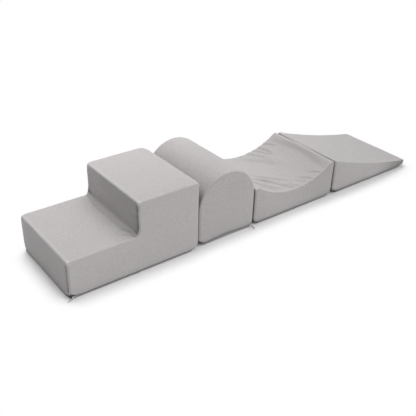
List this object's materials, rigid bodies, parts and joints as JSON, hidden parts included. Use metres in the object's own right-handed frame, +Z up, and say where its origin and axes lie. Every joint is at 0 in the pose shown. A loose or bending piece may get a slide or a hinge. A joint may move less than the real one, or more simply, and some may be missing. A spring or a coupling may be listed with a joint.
{
  "type": "soft play foam climber",
  "caption": "Row of loose foam blocks in zipped fabric covers for a small child to climb: steps, arch, wave and ramp.",
  "frame": {"origin": "on the floor under the middle of the row, on the wave block's base face", "axes": "+X along the row from the steps to the ramp, +Y to the far side, +Z up"},
  "size_m": [2.4198, 0.5463, 0.39],
  "materials": {
    "cover_fabric": "matte",
    "foam": "matte",
    "zip_tape": "matte",
    "nickel": "satin"
  },
  "bodies": {
    "steps_block": {"steps_foam_core": "foam", "steps_near_side_panel": "cover_fabric", "steps_far_side_panel": "cover_fabric", "steps_top_panel": "cover_fabric", "steps_base_panel": "cover_fabric", "steps_upper_zip_stringer": "zip_tape", "steps_lower_zip_stringer": "zip_tape", "steps_side_tab": "cover_fabric"},
    "steps_slider": {"steps_zip_slider": "nickel"},
    "steps_pull": {"steps_zip_pull_loop": "nickel", "steps_zip_pull_strip": "cover_fabric"},
    "arch_block": {"arch_foam_core": "foam", "arch_near_side_panel": "cover_fabric", "arch_far_side_panel": "cover_fabric", "arch_top_panel": "cover_fabric", "arch_base_panel": "cover_fabric", "arch_upper_zip_stringer": "zip_tape", "arch_lower_zip_stringer": "zip_tape"},
    "arch_slider": {"arch_zip_slider": "nickel"},
    "arch_pull": {"arch_zip_pull_loop": "nickel", "arch_zip_pull_strip": "cover_fabric"},
    "wave_block": {"wave_foam_core": "foam", "wave_near_side_panel": "cover_fabric", "wave_far_side_panel": "cover_fabric", "wave_top_panel": "cover_fabric", "wave_base_panel": "cover_fabric", "wave_upper_zip_stringer": "zip_tape", "wave_lower_zip_stringer": "zip_tape", "wave_side_tab": "cover_fabric"},
    "wave_slider": {"wave_zip_slider": "nickel"},
    "wave_pull": {"wave_zip_pull_loop": "nickel", "wave_zip_pull_strip": "cover_fabric"},
    "ramp_block": {"ramp_foam_core": "foam", "ramp_near_side_panel": "cover_fabric", "ramp_far_side_panel": "cover_fabric", "ramp_top_panel": "cover_fabric", "ramp_base_panel": "cover_fabric", "ramp_upper_zip_stringer": "zip_tape", "ramp_lower_zip_stringer": "zip_tape", "ramp_side_tab": "cover_fabric"},
    "ramp_slider": {"ramp_zip_slider": "nickel"},
    "ramp_pull": {"ramp_zip_pull_loop": "nickel", "ramp_zip_pull_strip": "cover_fabric"}
  },
  "joints": [
    {"name": "arch_block_slide", "type": "slide", "parent": "steps_block", "child": "arch_block", "axis": [0, 1, 0], "range_m": [-0.55, 0.55]},
    {"name": "wave_block_slide", "type": "slide", "parent": "steps_block", "child": "wave_block", "axis": [0, 1, 0], "range_m": [-0.55, 0.55]},
    {"name": "ramp_block_slide", "type": "slide", "parent": "steps_block", "child": "ramp_block", "axis": [0, 1, 0], "range_m": [-0.55, 0.55]},
    {"name": "steps_zip_run", "type": "slide", "parent": "steps_block", "child": "steps_slider", "axis": [1, 0, 0], "range_m": [0, 0.694]},
    {"name": "arch_zip_run", "type": "slide", "parent": "arch_block", "child": "arch_slider", "axis": [1, 0, 0], "range_m": [-0.334, 0]},
    {"name": "wave_zip_run", "type": "slide", "parent": "wave_block", "child": "wave_slider", "axis": [1, 0, 0], "range_m": [0, 0.574]},
    {"name": "ramp_zip_run", "type": "slide", "parent": "ramp_block", "child": "ramp_slider", "axis": [1, 0, 0], "range_m": [0, 0.59]},
    {"name": "steps_zip_pull_swing", "type": "hinge", "parent": "steps_slider", "child": "steps_pull", "pos_m": [-1.1847, -0.2639, 0.01], "axis": [0, 0, 1], "range_deg": [-22, 152]},
    {"name": "arch_zip_pull_swing", "type": "hinge", "parent": "arch_slider", "child": "arch_pull", "pos_m": [-0.1153, -0.2519, 0.01], "axis": [0, 0, 1], "range_deg": [-87, 87]},
    {"name": "wave_zip_pull_swing", "type": "hinge", "parent": "wave_slider", "child": "wave_pull", "pos_m": [-0.0747, 0.2519, 0.01], "axis": [0, 0, 1], "range_deg": [-7, 167]},
    {"name": "ramp_zip_pull_swing", "type": "hinge", "parent": "ramp_slider", "child": "ramp_pull", "pos_m": [0.5403, 0.2519, 0.01], "axis": [0, 0, 1], "range_deg": [-7, 167]}
  ]
}
